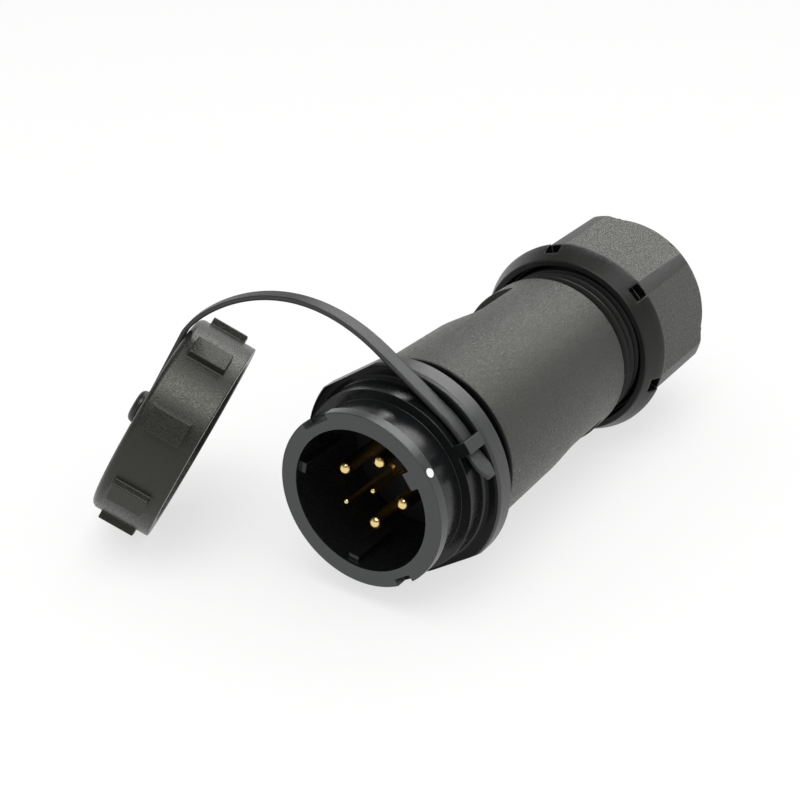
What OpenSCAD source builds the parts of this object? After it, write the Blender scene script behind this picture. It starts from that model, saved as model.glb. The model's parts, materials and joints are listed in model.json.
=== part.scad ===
// In-line circular connector: the pin half, with a twist-lock ring, a cable gland and a dust cap
// on a strap. It lies on its side. The axis runs along +Y, from the mating face at the origin to
// the cable end, and the dust cap stands on its edge to the left.

/* [Lock ring] */
// Outer diameter of the lock ring
ring_d = 30; // [29:0.5:31]
// Thickness of the lock ring along the axis
ring_t = 2; // [1.5:0.1:2.6]
// Bevel on the ring's front edge
ring_bevel = 0.1; // [0.1:0.05:0.5]
// Depth of the two notches in the ring's edge
notch_depth = 1.3; // [0.6:0.1:1.3]
// Width of the wide notch
wide_notch_w = 5.2; // [4:0.1:6.5]
// Width of the narrow notch
narrow_notch_w = 3.2; // [2.4:0.1:3.9]
// Angle of the main key about the axis, from +X towards +Z
key_turn = 35; // [25:1:45]

/* [Keyed bore] */
// Bore of the mating cavity
bore_d = 24.3; // [23:0.1:24.8]
// Depth of the cavity down to the contact insert
bore_depth = 17; // [15.5:0.5:19]
// Width of the main key
key_w = 3; // [2:0.1:4]
// Height of the main key
key_h = 1.45; // [0.8:0.05:2]
// Length of the main key
key_len = 12; // [8:0.5:15]
// Width of the two side keys
side_key_w = 1.9; // [1.2:0.1:2.6]
// Height of the two side keys
side_key_h = 1.2; // [0.6:0.1:1.6]
// Length of the two side keys
side_key_len = 10; // [6:0.5:13]
// Distance of the side keys behind the mating face
side_key_inset = 0.8; // [0.4:0.1:2]
// Angle from the main key to each side key
side_key_turn = 134; // [110:1:150]

/* [Neck, collar and flange] */
// Diameter of the neck behind the ring
neck_d = 27.2; // [26.4:0.1:27.6]
// Length of the neck
neck_len = 5.4; // [4:0.1:7]
// Diameter of the collar that the strap lies round
collar_d = 31.7; // [31:0.1:32]
// Distance from the collar's front edge to the flange
collar_len = 4.1; // [4:0.1:5]
// Hollow fillet between the collar and the flange
root_fillet = 0.9; // [0.4:0.1:1]
// Diameter of the flange
flange_d = 37; // [36.4:0.1:38]
// Thickness of the flange
flange_t = 3.6; // [2.6:0.1:4.5]
// Width of the flange across its two flats
flange_across = 34.8; // [33.5:0.1:36]
// Rounding of the flange's front edge
flange_round = 0.8; // [0.2:0.1:1]

/* [Keeper loop and strap] */
// Width of the loop round the flange
loop_w = 2.15; // [1.6:0.05:3]
// Thickness of the loop's bridge
loop_t = 1; // [0.8:0.05:1.1]
// Thickness of the loop's front leg
loop_leg = 0.7; // [0.5:0.05:0.75]
// Width of the strap
strap_w = 2.2; // [2:0.1:2.8]
// Thickness of the strap
strap_t = 0.8; // [0.7:0.05:1.25]
// Room for the strap in the loop
strap_clear = 0.15; // [0.1:0.05:0.2]
// Room between the strap and the collar under it
strap_lift = 0.5; // [0.3:0.05:0.5]
// Angle at which the strap leaves the collar
lift_turn = 56; // [46:1:60]
// Straight run of the strap after it leaves the collar
lift_run = 13.5; // [8:0.5:16]
// Pull of the arch away from the connector
arch_near = 22; // [14:0.5:24]
// Pull of the arch away from the cap
arch_far = 5; // [4:0.5:12]
// Length of the barbed tail beyond the loop
tail_len = 4.7; // [3.5:0.1:5.5]
// Width of the barbed tail
tail_w = 3.2; // [2.8:0.1:3.2]
// Width of the tail's blunt tip
tail_tip_w = 1.7; // [1.2:0.1:2]
// Angle at which the tail lifts off the collar
tail_lift = 12; // [0:1:15]

/* [Contacts] */
// Diameter of the power contacts
power_d = 2.4; // [2:0.1:2.6]
// Diameter of the signal contacts
signal_d = 1; // [0.8:0.1:1.2]
// Distance of the contact tips behind the mating face
tip_depth = 3.5; // [2:0.1:6]
// Distance of the front power pair towards the main key
front_pair_along = 3.9; // [3.4:0.1:4.5]
// Half spacing of the front power pair
front_pair_half = 3.8; // [3.4:0.1:4.4]
// Distance of the rear power pair away from the main key
rear_pair_along = 3.4; // [3:0.1:4]
// Half spacing of the rear power pair
rear_pair_half = 5; // [4.6:0.1:5.6]
// Distance of the outer signal contact away from the main key
outer_signal_along = 6.3; // [5.9:0.1:7]
// Thickness of the contact insert
insert_t = 10; // [8:0.5:11]
// Thickness of the plate behind the insert
retainer_t = 3; // [2:0.1:4]
// Thickness of the ring that holds the insert
insert_ring_t = 2; // [1.2:0.1:2.2]
// Length of the solder cups behind the plate
cup_len = 6; // [4:0.5:9]

/* [Spigot and gasket] */
// Diameter of the spigot inside the body
spigot_d = 28.2; // [28:0.1:28.6]
// Length of the spigot
spigot_len = 18; // [17.5:0.5:20]
// Bore of the spigot that the insert sits in
seat_d = 25.5; // [25.2:0.1:26]
// Diameter of the gasket behind the flange
gasket_d = 31; // [30.8:0.1:32]
// Thickness of the gasket, which is the gap between the flange and the body
gasket_t = 4.3; // [3.4:0.1:5]

/* [Body] */
// Diameter of the body at its front
body_front_d = 32.4; // [32:0.1:33]
// Diameter of the body at its rear
body_rear_d = 30.5; // [30.2:0.1:31.5]
// Length of the body without its threaded neck
body_len = 42.9; // [40:0.5:50]
// Width of the body across its two wrench flats
body_across = 28.4; // [27.8:0.1:29.2]
// Length of the wrench flats
flat_len = 11.3; // [8:0.1:13]
// Distance from the wrench flats to the rear of the body
flat_inset = 5.5; // [4:0.1:7]
// Radius of the hollow ramp in front of each wrench flat
ramp_r = 14; // [8:0.5:18]
// Angle of the wrench flats about the axis
flat_turn = 132; // [120:1:150]
// Bore of the wiring space in the body
chamber_d = 24.8; // [23:0.1:25]
// Crest diameter of the gland thread
thread_d = 29.6; // [29.2:0.1:29.8]
// Depth of the gland thread
thread_depth = 0.9; // [0.6:0.05:1.1]
// Length of the threaded neck
thread_len = 18.7; // [17.5:0.1:20]

/* [Gland] */
// Bore of the pocket for the seal and the claw
pocket_d = 24; // [23.4:0.1:24.2]
// Depth of the pocket
pocket_depth = 15; // [14:0.1:16]
// Bore of the rubber seal
seal_bore_d = 12; // [8:0.5:14]
// Length of the seal
seal_len = 5.3; // [4:0.1:5.4]
// Number of fingers on the clamping claw
finger_count = 8; // [6:1:10]
// Width of the slots between the fingers
finger_slot = 1.6; // [1:0.1:2]
// Length of the fingers
finger_len = 12.3; // [11.5:0.1:12.8]
// Wall of the claw's fingers
finger_wall = 2; // [1.4:0.1:2.4]
// Running room of the claw in the body and in the nut
claw_clear = 0.3; // [0.2:0.05:0.4]
// Length of the claw's rear collar
claw_collar = 4; // [3:0.1:4.5]
// Thickness of the slip washer
washer_t = 0.8; // [0.5:0.1:1]

/* [Gland nut] */
// Gap between the body and the nut
nut_gap = 5; // [4.8:0.1:6]
// Length of the nut
nut_len = 29.2; // [28.8:0.1:31]
// Diameter of the nut's round rim
rim_d = 37; // [36.4:0.1:38]
// Diameter of the skirt's front edge
lip_d = 33.8; // [33.4:0.1:34.4]
// Length of the conical skirt
skirt_len = 4.1; // [3:0.1:5]
// Thickness of the rim
rim_t = 1; // [0.6:0.1:1.6]
// Width of the hexagon across its flats
hex_across = 33; // [32.4:0.1:33.6]
// Diameter across the hexagon's cut corners
hex_corner_d = 36.5; // [35.8:0.1:37]
// Diameter of the dome behind the hexagon
dome_d = 34.4; // [33.6:0.1:35.6]
// Length of the dome
dome_len = 5.1; // [4:0.1:6]
// Rounding of the nut's rear edge
dome_r = 6; // [3:0.5:8]
// Width of the notches in the rim
rim_notch_w = 2.75; // [2:0.05:3.4]
// Length of the notches in the rim
rim_notch_len = 3; // [1.2:0.1:3.4]
// Radius to the floor of the rim notches
rim_notch_floor = 16.5; // [16.4:0.05:17]
// Running room over the thread
thread_clear = 0.3; // [0.2:0.05:0.4]
// Thickness of the nut's rear wall
nut_wall = 3.2; // [2.6:0.1:4]
// Cable opening in the nut
cable_hole_d = 16.4; // [12:0.1:18]

/* [Dust cap] */
// Diameter of the cap
cap_d = 36.3; // [35:0.1:37]
// Depth of the cap
cap_depth = 10.8; // [9.8:0.1:12]
// Thickness of the cap's back
cap_back = 2.2; // [1.6:0.1:2.6]
// Rounding of the cap's back edge
cap_round = 1.2; // [0.5:0.1:1.5]
// Room between the cap and the lock ring
cap_clear = 0.35; // [0.2:0.05:0.5]
// Number of grip lugs
lug_count = 8; // [6:1:10]
// Width of a grip lug
lug_w = 4.1; // [3:0.1:5]
// Height of a grip lug
lug_h = 1.2; // [1:0.05:1.8]
// Length of a grip lug
lug_len = 6.5; // [5:0.1:8]
// Distance of the grip lugs from the back
lug_inset = 2.1; // [0.4:0.1:2.6]
// Thickness of the gasket in the cap
cap_gasket_t = 1.2; // [0.8:0.1:1.6]
// Diameter of the stud's neck
stud_d = 3; // [2.4:0.1:3.4]
// Diameter of the stud's head
stud_head_d = 5.9; // [4.6:0.1:6]
// Thickness of the stud's head
stud_head_t = 1.3; // [0.9:0.1:1.6]
// Outer diameter of the strap's eyelet
eyelet_d = 7; // [6.2:0.1:8]
// Place of the cap's back from the axis, along X
cap_x = -44.5; // [-50:0.1:-42]
// Place of the cap's back from the mating face, along Y
cap_y = 1.5; // [-1:0.1:4]
// Turn of the cap's axis from +X towards +Y
cap_turn = 22; // [18:0.2:30]
// Downward tilt of the cap's open side
cap_dip = 28.4; // [24:0.2:34]
// Turn of the grip lugs about the cap's axis
lug_turn = 13; // [5:1:15]

/* [Hidden] */
$fn = 96;

// Overlap that makes a cut or a joint run through cleanly
cut = 1;
// Depth to which a raised feature runs into the wall that carries it
sink = 0.5;
// Gap between fixed pieces that are pushed together
fit_gap = 0.1;

nylon = "#1d1e20";
rubber = "#111213";
strap_rubber = "#2a2b2d";
insulator = "#161718";
gold = "#d9ad45";

// Stations along the axis, from the mating face towards the cable
collar_at = ring_t + neck_len;
flange_at = collar_at + collar_len;
flange_end = flange_at + flange_t;
spigot_end = flange_end + spigot_len;
insert_end = bore_depth + insert_t;
retainer_end = insert_end + retainer_t;
body_at = flange_end + gasket_t;
body_end = body_at + body_len;
thread_end = body_end + thread_len;
pocket_at = thread_end - pocket_depth;
flat_end = body_end - flat_inset;
flat_at = flat_end - flat_len;
nut_at = body_end + nut_gap;
nut_end = nut_at + nut_len;
rim_at = nut_at + skirt_len;
rim_end = rim_at + rim_t;
nut_floor = nut_end - nut_wall;
claw_end = nut_floor - washer_t;
claw_collar_at = claw_end - claw_collar;
finger_at = claw_collar_at - finger_len;

// Front shell
socket_r = spigot_d / 2 + fit_gap;
side_key_end = side_key_inset + side_key_len;
root_r = min(root_fillet, (flange_d - collar_d) / 2);

// Contacts: the radius of the pin, and its steps up to the root, the shoulder and the solder cup
insert_face_t = 2.2;
shoulder_at = bore_depth + insert_face_t;
power_radii = contact_radii(power_d, [0.2, 0.6, 0.3]);
signal_radii = contact_radii(signal_d, [0.3, 0.6, 0.3]);
cup_wall = 0.35;
cup_end = retainer_end + cup_len;
cup_depth = 4.5;
cup_lip = 1;
power_places = [
  [-rear_pair_along, rear_pair_half], [front_pair_along, front_pair_half],
  [front_pair_along, -front_pair_half], [-rear_pair_along, -rear_pair_half]
];
signal_places = [[0, 0], [-outer_signal_along, 0]];

// Insert and its seal
insert_r = seat_d / 2 - fit_gap;
o_ring_inset = 4.9;
o_ring_at = bore_depth + o_ring_inset;
o_ring_section = 1.3;
o_ring_groove_w = 1.7;
o_ring_groove_r = seat_d / 2 - o_ring_section - fit_gap / 2;
insert_ring_wall = 1.6;

// Body
body_edge = 0.4;
spigot_room = 0.5;
pocket_wall = 3;
chamber_end = pocket_at - pocket_wall;
throat_d = 19;
chamber_taper = 4;
thread_lead = 0.8;

// Gland
seal_r = pocket_d / 2 - fit_gap;
finger_r = pocket_d / 2 - claw_clear;
finger_tip_bevel = 0.8;
nut_step = 0.6;
nut_pocket_r = thread_d / 2 - nut_step;
nut_thread_len = 13.5;
lip_relief = 0.9;
lip_bore_d = thread_d + 2 * lip_relief;
lip_bore_len = 3;
hex_sides = 6;
corner_turn = 45;

// Dust cap
cap_r = cap_d / 2;
lug_r = cap_r + lug_h;
cap_bore_r = ring_d / 2 + cap_clear;
nub_t = 1.8;
nub_clear = 0.25;
nub_at = cap_back + cap_gasket_t + ring_t + nub_clear;
nub_r = ring_d / 2 - notch_depth + nub_clear;
stud_len = strap_t + 2 * fit_gap;
head_round = 0.8 * stud_head_t;
eyelet_hole_r = stud_d / 2 + fit_gap;
cap_gasket_w = 3.4;

// The cap stands on the floor that the flange lies on: its lowest lug or its open edge touches it
lug_pitch = 360 / lug_count;
low_lug = lug_turn - lug_pitch * round(lug_turn / lug_pitch);
lug_reach = lug_r * cos(low_lug) + lug_w / 2 * abs(sin(low_lug));
lug_drop = lug_reach * cos(cap_dip) + (lug_inset + lug_len) * sin(cap_dip);
edge_drop = cap_r * cos(cap_dip) + cap_depth * sin(cap_dip);
cap_place = [cap_x, cap_y, max(lug_drop, edge_drop) - flange_d / 2];
cap_down = [-sin(cap_dip) * cos(cap_turn), -sin(cap_dip) * sin(cap_turn), -cos(cap_dip)];
cap_side = [-sin(cap_turn), cos(cap_turn), 0];
cap_axis = [cos(cap_dip) * cos(cap_turn), cos(cap_dip) * sin(cap_turn), -sin(cap_dip)];

// Strap: round the collar, straight off it, over in an arch and down the cap's back to the stud
strap_r = collar_d / 2 + strap_lift + strap_t / 2;
loop_r = strap_r + strap_t / 2 + strap_clear + loop_t;
strap_y = (collar_at + loop_leg + flange_at) / 2;
strap_edge = 0.25;
wrap_steps = 4;
arch_steps = 22;
eyelet_mid = fit_gap + strap_t / 2;
arch_foot = cap_r - cap_round;
strap_stop = (eyelet_hole_r + eyelet_d / 2) / 2;
tail_gap = loop_w / 2 + 2 * strap_clear;
tail_root = strap_r * radial(key_turn) - tail_gap * onward(key_turn) + [0, strap_y, 0];
tail_way = sin(tail_lift) * radial(key_turn) - cos(tail_lift) * onward(key_turn);
lift_point = strap_r * radial(lift_turn) + [0, strap_y, 0];
arch_start = lift_point + lift_run * onward(lift_turn);
arch_end = cap_place - arch_foot * cap_down - eyelet_mid * cap_axis;
arch_pull = [
  arch_start, arch_start + arch_near * onward(lift_turn), arch_end - arch_far * cap_down, arch_end
];
// The barbed tail from its tip to the loop, as [share of its length, width] pairs
tail_shape = [
  [1, tail_tip_w], [0.6, tail_w], [0.3, tail_w], [0.05, (strap_w + tail_w) / 2], [0, strap_w]
];
strap_points = concat(
  [for (place = tail_shape) tail_root + place[0] * tail_len * tail_way],
  [for (i = [0 : wrap_steps]) wrap_point(i / wrap_steps)],
  [for (i = [0 : arch_steps]) bezier(arch_pull, i / arch_steps)],
  [arch_end + (arch_foot - strap_stop) * cap_down]
);

// Unit vectors at an angle about the axis: outwards, and onwards round it
function radial(a) = [cos(a), 0, sin(a)];
function onward(a) = [-sin(a), 0, cos(a)];

function unit(v) = v / norm(v);

function contact_radii(d, steps) = [d / 2, for (step = steps) d / 2 + step];

function bezier(p, t) =
  pow(1 - t, 3) * p[0] + 3 * t * pow(1 - t, 2) * p[1] + 3 * t * t * (1 - t) * p[2] + pow(t, 3) * p[3];

function wrap_point(t) = strap_r * radial(key_turn + t * (lift_turn - key_turn)) + [0, strap_y, 0];

// Direction of the strap at one of its points
function strap_way(i) =
  unit(strap_points[min(i + 1, len(strap_points) - 1)] - strap_points[max(i - 1, 0)]);

// Direction across the strap's width, which stays level all along
function strap_across(i) =
  let (way = strap_way(i))
  unit([way[1], -way[0], 0]);

// Width of the strap at one of its points: the tail has its own, point by point
function strap_wide(i) = i < len(tail_shape) ? tail_shape[i][1] : strap_w;

// Rectangle with bevelled corners, as [across, through] pairs
function strap_section(width) =
  let (w = width / 2, t = strap_t / 2, e = strap_edge)
  [[w, t - e], [w - e, t], [e - w, t], [-w, t - e], [-w, e - t], [e - w, -t], [w - e, -t], [w, e - t]];

function strap_ring(i) =
  let (across = strap_across(i), through = cross(strap_way(i), across))
  [for (c = strap_section(strap_wide(i))) strap_points[i] + c[0] * across + c[1] * through];

// Lays a shape that was drawn upright, about local Z, along the connector's axis
module axial() {
  rotate([90, 0, 0])
    mirror([0, 0, 1])
      children();
}

// Puts a shape that was drawn with the cap's back at the origin where the cap stands
module at_cap() {
  translate(cap_place)
    rotate([0, 90 + cap_dip, cap_turn])
      children();
}

// Half section of the front shell: x is the radius, y the station
module shell_section() {
  fillet_r = collar_d / 2 + root_r;
  difference() {
    union() {
      polygon([
        [0, 0], [ring_d / 2 - ring_bevel, 0], [ring_d / 2, ring_bevel], [ring_d / 2, ring_t], [0, ring_t]
      ]);
      square([neck_d / 2, flange_at]);
      translate([0, collar_at])
        square([collar_d / 2, collar_len]);
      translate([0, flange_at - root_r])
        square([fillet_r, root_r]);
      translate([0, flange_at + flange_round])
        square([flange_d / 2, flange_t - flange_round]);
      translate([0, flange_at])
        square([flange_d / 2 - flange_round, flange_t]);
      intersection() {
        translate([flange_d / 2 - flange_round, flange_at + flange_round])
          circle(flange_round);
        translate([flange_d / 2 - flange_round, flange_at])
          square(flange_round);
      }
      square([spigot_d / 2, spigot_end]);
    }
    translate([fillet_r, flange_at - root_r])
      circle(root_r);
    translate([0, -cut])
      square([bore_d / 2, bore_depth + 2 * cut]);
    translate([0, bore_depth])
      square([seat_d / 2, spigot_end]);
  }
}

// Notch in the lock ring's edge, at an angle from the main key
module ring_notch(turn, width) {
  rotate(key_turn + turn)
    translate([ring_d / 2 - notch_depth, -width / 2, -cut])
      cube([notch_depth + cut, width, ring_t + cut]);
}

// Key inside the bore, at an angle from the main key
module bore_key(turn, width, height, from, to) {
  rotate(key_turn + turn)
    translate([bore_d / 2 - height, -width / 2, from])
      cube([height + sink, width, to - from]);
}

// Loop that holds the strap: a bridge over it, with a leg on the collar and a leg in the flange
module keeper_loop() {
  loop_foot = collar_d / 2 - sink;
  intersection() {
    rotate(key_turn)
      union() {
        translate([loop_r - loop_t, -loop_w / 2, collar_at])
          cube([loop_t + cut, loop_w, collar_len + sink]);
        translate([loop_foot, -loop_w / 2, collar_at])
          cube([loop_r - loop_foot + cut, loop_w, loop_leg]);
        translate([loop_foot, -loop_w / 2, flange_at])
          cube([loop_r - loop_foot + cut, loop_w, flange_t / 2]);
      }
    cylinder(r = loop_r, h = flange_end);
  }
}

module front_shell() {
  color(nylon)
    axial() {
      difference() {
        rotate_extrude()
          shell_section();
        for (side = [90, -90])
          rotate(key_turn + side)
            translate([flange_across / 2, -flange_d / 2, flange_at - cut])
              cube([flange_d, flange_d, flange_t + 2 * cut]);
        ring_notch(90, wide_notch_w);
        ring_notch(-90, narrow_notch_w);
      }
      bore_key(0, key_w, key_h, 0, key_len);
      bore_key(side_key_turn, side_key_w, side_key_h, side_key_inset, side_key_end);
      bore_key(-side_key_turn, side_key_w, side_key_h, side_key_inset, side_key_end);
      keeper_loop();
    }
}

// Moves a contact or its hole to its place in the key's frame
module at_contact(place) {
  rotate(key_turn)
    translate([place[0], place[1], 0])
      children();
}

// Stepped hole for one contact through the insert
module contact_hole(radii) {
  translate([0, 0, bore_depth - cut])
    cylinder(r = radii[1] + fit_gap, h = insert_t);
  translate([0, 0, shoulder_at])
    cylinder(r = radii[2] + fit_gap, h = insert_t);
}

module contact_insert() {
  color(insulator)
    axial()
      difference() {
        translate([0, 0, bore_depth])
          cylinder(r = insert_r, h = insert_t);
        for (place = power_places)
          at_contact(place)
            contact_hole(power_radii);
        for (place = signal_places)
          at_contact(place)
            contact_hole(signal_radii);
        translate([0, 0, o_ring_at - o_ring_groove_w / 2])
          difference() {
            cylinder(r = insert_r + cut, h = o_ring_groove_w);
            translate([0, 0, -cut])
              cylinder(r = o_ring_groove_r, h = o_ring_groove_w + 2 * cut);
          }
      }
}

module contact_retainer() {
  color(insulator)
    axial()
      difference() {
        translate([0, 0, insert_end])
          cylinder(r = insert_r, h = retainer_t);
        for (place = power_places)
          at_contact(place)
            translate([0, 0, insert_end - cut])
              cylinder(r = power_radii[3] + fit_gap, h = retainer_t + 2 * cut);
        for (place = signal_places)
          at_contact(place)
            translate([0, 0, insert_end - cut])
              cylinder(r = signal_radii[3] + fit_gap, h = retainer_t + 2 * cut);
      }
}

module insert_o_ring() {
  color(rubber)
    axial()
      translate([0, 0, o_ring_at])
        rotate_extrude()
          translate([seat_d / 2 - o_ring_section / 2, 0])
            circle(d = o_ring_section - fit_gap / 2);
}

module insert_ring() {
  color(nylon)
    axial()
      translate([0, 0, retainer_end])
        difference() {
          cylinder(r = insert_r, h = insert_ring_t);
          translate([0, 0, -cut])
            cylinder(r = insert_r - insert_ring_wall, h = insert_ring_t + 2 * cut);
        }
}

// Half section of a turned contact: round tip, root, shoulder and solder cup
module contact_section(radii) {
  tip_r = radii[0];
  difference() {
    union() {
      intersection() {
        translate([0, tip_depth + tip_r])
          circle(tip_r);
        translate([0, tip_depth])
          square(tip_r);
      }
      translate([0, tip_depth + tip_r])
        square([tip_r, shoulder_at - tip_depth - tip_r]);
      translate([0, bore_depth])
        square([radii[1], insert_face_t + fit_gap]);
      translate([0, shoulder_at + fit_gap])
        square([radii[2], insert_end - shoulder_at - fit_gap]);
      translate([0, insert_end - fit_gap])
        square([radii[3], cup_end - insert_end + fit_gap]);
    }
    translate([0, cup_end - cup_depth])
      square([radii[3] - cup_wall, cup_depth + cut]);
  }
}

module contact(place, radii) {
  window_at = cup_end - cup_depth + cup_lip;
  color(gold)
    axial()
      at_contact(place)
        difference() {
          rotate_extrude($fn = 48)
            contact_section(radii);
          translate([0, -radii[3] - cut, window_at])
            cube([radii[3] + cut, 2 * (radii[3] + cut), cup_depth + cut]);
        }
}

// Double bead on a flat inner band
module flange_gasket() {
  free_t = gasket_t - fit_gap;
  bead_r = free_t / 4;
  band_r = gasket_d / 2 - bead_r;
  color(rubber)
    axial()
      translate([0, 0, flange_end + fit_gap / 2])
        rotate_extrude() {
          translate([socket_r, 0])
            square([band_r - socket_r, free_t]);
          intersection() {
            for (bead = [1, 3])
              translate([band_r, bead * bead_r])
                circle(bead_r);
            translate([socket_r, 0])
              square([gasket_d, free_t]);
          }
        }
}

// Half section of the body: tapered outside, stepped inside
module body_section() {
  front_r = body_front_d / 2;
  rear_r = body_rear_d / 2;
  root_r = thread_d / 2 - thread_depth;
  chamber_at = spigot_end + spigot_room;
  difference() {
    polygon([
      [0, body_at], [front_r - body_edge, body_at], [front_r, body_at + body_edge],
      [rear_r, body_end - body_edge], [rear_r - body_edge, body_end], [root_r, body_end],
      [root_r, thread_end - thread_lead], [root_r - thread_lead, thread_end], [0, thread_end]
    ]);
    polygon([
      [0, body_at - cut], [socket_r, body_at - cut], [socket_r, chamber_at], [chamber_d / 2, chamber_at],
      [chamber_d / 2, chamber_end - chamber_taper], [throat_d / 2, chamber_end], [throat_d / 2, pocket_at],
      [pocket_d / 2, pocket_at], [pocket_d / 2, thread_end + cut], [0, thread_end + cut]
    ]);
  }
}

// Side view of the wrench flat's cutter: x is the distance from the axis, y the station
module flat_section() {
  flat_r = body_across / 2;
  flat_cut = body_front_d / 2 - flat_r + cut;
  translate([flat_r, flat_at])
    square([flat_cut, flat_len]);
  intersection() {
    translate([flat_r + ramp_r, flat_at])
      circle(ramp_r);
    translate([flat_r, flat_at - ramp_r])
      square([flat_cut, ramp_r + sink]);
  }
}

module body_tube() {
  color(nylon)
    axial()
      difference() {
        rotate_extrude()
          body_section();
        for (side = [0, 180])
          rotate(flat_turn + side)
            rotate([90, 0, 0])
              linear_extrude(body_front_d, center = true)
                flat_section();
      }
}

module gland_seal() {
  seal_bevel = 1;
  color(rubber)
    axial()
      translate([0, 0, pocket_at])
        rotate_extrude()
          polygon([
            [seal_bore_d / 2, 0], [seal_r, 0], [seal_r, seal_len - seal_bevel],
            [seal_r - seal_bevel, seal_len], [seal_bore_d / 2 + seal_bevel, seal_len],
            [seal_bore_d / 2, seal_len - seal_bevel]
          ]);
}

// Collar at the rear and fingers that reach forward into the body's pocket
module gland_claw() {
  finger_bore_r = finger_r - finger_wall;
  slot_len = finger_len - finger_tip_bevel;
  color(nylon)
    axial()
      difference() {
        rotate_extrude()
          polygon([
            [finger_bore_r, finger_at], [finger_r - finger_tip_bevel, finger_at],
            [finger_r, finger_at + finger_tip_bevel], [finger_r, claw_collar_at],
            [nut_pocket_r - claw_clear, claw_collar_at], [nut_pocket_r - claw_clear, claw_end],
            [finger_bore_r, claw_end]
          ]);
        for (i = [0 : finger_count - 1])
          rotate(i * 360 / finger_count)
            translate([0, -finger_slot / 2, finger_at - cut])
              cube([pocket_d, finger_slot, slot_len + cut]);
      }
}

module gland_washer() {
  color(insulator)
    axial()
      translate([0, 0, claw_end])
        difference() {
          cylinder(r = nut_pocket_r - claw_clear, h = washer_t);
          translate([0, 0, -cut])
            cylinder(r = finger_r - finger_wall, h = washer_t + 2 * cut);
        }
}

// Half section of the nut's round envelope: skirt, rim, bevelled corners and domed rear
module nut_envelope() {
  corner_r = hex_corner_d / 2;
  corner_end = nut_end - dome_len;
  core_r = dome_d / 2 - dome_r;
  polygon([
    [0, nut_at], [lip_d / 2, nut_at], [rim_d / 2, rim_at], [rim_d / 2, rim_end], [corner_r, rim_end],
    [corner_r, corner_end - corner_r + dome_d / 2], [dome_d / 2, corner_end], [0, corner_end]
  ]);
  translate([0, rim_at])
    square([dome_d / 2, nut_end - dome_r - rim_at]);
  translate([0, rim_at])
    square([core_r, nut_end - rim_at]);
  intersection() {
    translate([core_r, nut_end - dome_r])
      circle(dome_r);
    translate([core_r - cut, nut_end - dome_r - cut])
      square([dome_r + cut, dome_r + cut]);
  }
}

module gland_nut() {
  hex_r = hex_across / 2 / cos(180 / hex_sides);
  hex_len = nut_end - rim_end;
  color(nylon)
    axial()
      difference() {
        intersection() {
          rotate_extrude()
            nut_envelope();
          union() {
            translate([0, 0, nut_at])
              cylinder(r = rim_d, h = rim_end - nut_at);
            rotate(corner_turn)
              translate([0, 0, rim_end - sink])
                cylinder(r = hex_r, h = hex_len + cut, $fn = hex_sides);
          }
        }
        for (i = [0 : hex_sides - 1])
          rotate(corner_turn + i * 360 / hex_sides)
            translate([rim_notch_floor, -rim_notch_w / 2, rim_end - rim_notch_len])
              cube([rim_d, rim_notch_w, rim_notch_len]);
        translate([0, 0, nut_at - cut])
          cylinder(d = lip_bore_d, h = lip_bore_len + cut);
        translate([0, 0, nut_at])
          cylinder(r = thread_d / 2 + thread_clear, h = lip_bore_len + nut_thread_len);
        translate([0, 0, nut_at])
          cylinder(r = nut_pocket_r, h = nut_floor - nut_at);
        translate([0, 0, nut_at])
          cylinder(d = cable_hole_d, h = nut_len + cut);
      }
}

// Half section of the cap's cup: x is the radius, y the distance from the back
module cap_section() {
  difference() {
    union() {
      translate([0, cap_round])
        square([cap_r, cap_depth - cap_round]);
      square([cap_r - cap_round, cap_depth]);
      intersection() {
        translate([cap_r - cap_round, cap_round])
          circle(cap_round);
        translate([cap_r - cap_round - cut, 0])
          square([cap_round + cut, cap_round + cut]);
      }
    }
    translate([0, cap_back])
      square([cap_bore_r, cap_depth]);
  }
}

// Nub that passes a notch of the lock ring and turns in behind it
module cap_nub(turn, width) {
  rotate(turn)
    intersection() {
      translate([nub_r, -width / 2, nub_at])
        cube([cap_bore_r - nub_r + sink, width, nub_t]);
      cylinder(r = cap_bore_r + sink, h = cap_depth);
    }
}

// Half section of the stud on the cap's back: a neck and a mushroom head
module stud_section() {
  head_r = stud_head_d / 2;
  head_at = -stud_len - stud_head_t;
  translate([0, head_at])
    square([head_r - head_round, stud_head_t]);
  translate([0, head_at + head_round])
    square([head_r, stud_head_t - head_round]);
  intersection() {
    translate([head_r - head_round, head_at + head_round])
      circle(head_round);
    translate([0, head_at])
      square([head_r, stud_head_t]);
  }
  translate([0, -stud_len - sink])
    square([stud_d / 2, stud_len + 2 * sink]);
}

module dust_cap() {
  color(nylon)
    at_cap() {
      rotate_extrude()
        cap_section();
      for (i = [0 : lug_count - 1])
        rotate(lug_turn + i * lug_pitch)
          translate([cap_r - sink, -lug_w / 2, lug_inset])
            cube([lug_h + sink, lug_w, lug_len]);
      cap_nub(90, wide_notch_w - 2 * nub_clear);
      cap_nub(-90, narrow_notch_w - 2 * nub_clear);
      rotate_extrude($fn = 48)
        stud_section();
    }
}

module cap_gasket() {
  color(rubber)
    at_cap()
      translate([0, 0, cap_back])
        difference() {
          cylinder(r = cap_bore_r - fit_gap, h = cap_gasket_t);
          translate([0, 0, -cut])
            cylinder(r = cap_bore_r - cap_gasket_w, h = cap_gasket_t + 2 * cut);
        }
}

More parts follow.
